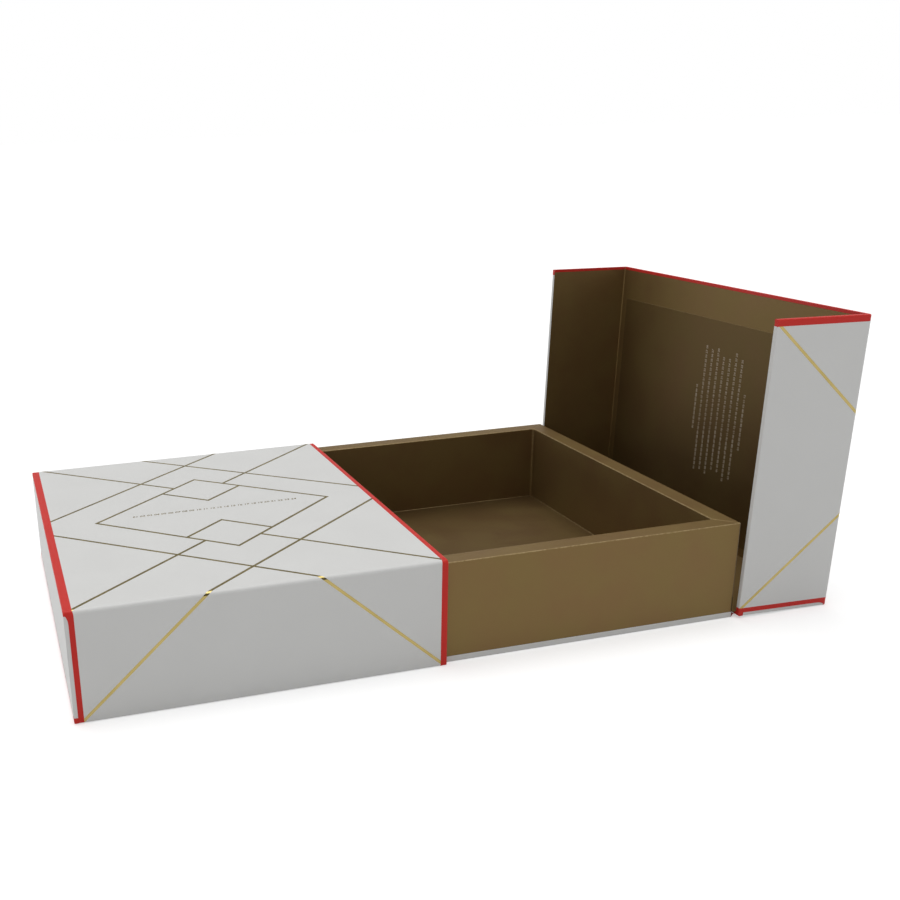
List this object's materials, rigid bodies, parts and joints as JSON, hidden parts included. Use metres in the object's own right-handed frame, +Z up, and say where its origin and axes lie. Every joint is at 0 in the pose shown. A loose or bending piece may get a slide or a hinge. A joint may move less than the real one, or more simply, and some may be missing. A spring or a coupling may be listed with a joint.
{
  "type": "advent calendar box",
  "caption": "Rigid paper-wrapped board gate box with a double-walled tray on its base and two half covers hinged at its ends that open outwards and stand on their end panels.",
  "frame": {"origin": "middle of the base's underside, on the surface that the box stands on", "axes": "+X along the box's length towards the cover that stands open, -Y towards the front, +Z up"},
  "size_m": [0.3801, 0.21, 0.1472],
  "materials": {
    "greyboard": "raw, uncoated greyboard",
    "white_paper": "smooth satin coated",
    "red_paper": "satin",
    "bronze_paper": "satin metallic bronze"
  },
  "bodies": {
    "base": {"base_board": "greyboard", "base_paper": "white_paper", "tray_bottom_board": "greyboard", "tray_outer_wall_front": "greyboard", "tray_outer_wall_back": "greyboard", "tray_outer_wall_left": "greyboard", "tray_outer_wall_right": "greyboard", "tray_inner_wall_front": "greyboard", "tray_inner_wall_back": "greyboard", "tray_inner_wall_left": "greyboard", "tray_inner_wall_right": "greyboard", "tray_rim_front": "greyboard", "tray_rim_back": "greyboard", "tray_rim_left": "greyboard", "tray_rim_right": "greyboard", "tray_outer_paper": "bronze_paper", "tray_rim_paper": "bronze_paper", "tray_wall_paper": "bronze_paper", "tray_floor_paper": "bronze_paper", "left_hinge_outer_paper": "red_paper", "left_hinge_inner_paper": "bronze_paper", "right_hinge_outer_paper": "red_paper", "right_hinge_inner_paper": "bronze_paper"},
    "left_cover": {"left_cover_top_board": "greyboard", "left_cover_front_board": "greyboard", "left_cover_back_board": "greyboard", "left_cover_end_board": "greyboard", "left_cover_outer_paper": "white_paper", "left_cover_end_paper": "white_paper", "left_cover_lining_paper": "bronze_paper", "left_cover_end_lining": "bronze_paper", "left_cover_middle_edging": "red_paper", "left_cover_hinge_edging": "red_paper", "left_cover_foot_edging": "red_paper"},
    "right_cover": {"right_cover_top_board": "greyboard", "right_cover_front_board": "greyboard", "right_cover_back_board": "greyboard", "right_cover_end_board": "greyboard", "right_cover_outer_paper": "white_paper", "right_cover_end_paper": "white_paper", "right_cover_lining_paper": "bronze_paper", "right_cover_end_lining": "bronze_paper", "right_cover_middle_edging": "red_paper", "right_cover_hinge_edging": "red_paper", "right_cover_foot_edging": "red_paper"}
  },
  "joints": [
    {"name": "left_hinge", "type": "hinge", "parent": "base", "child": "left_cover", "pos_m": [-0.163, 0, 0.0012], "axis": [0, -1, 0], "range_deg": [0, 91.3], "deforming": ["left_hinge_outer_paper", "left_hinge_inner_paper"]},
    {"name": "right_hinge", "type": "hinge", "parent": "base", "child": "right_cover", "pos_m": [0.163, 0, 0.0012], "axis": [0, 1, 0], "range_deg": [-91.3, 0], "deforming": ["right_hinge_outer_paper", "right_hinge_inner_paper"]}
  ]
}
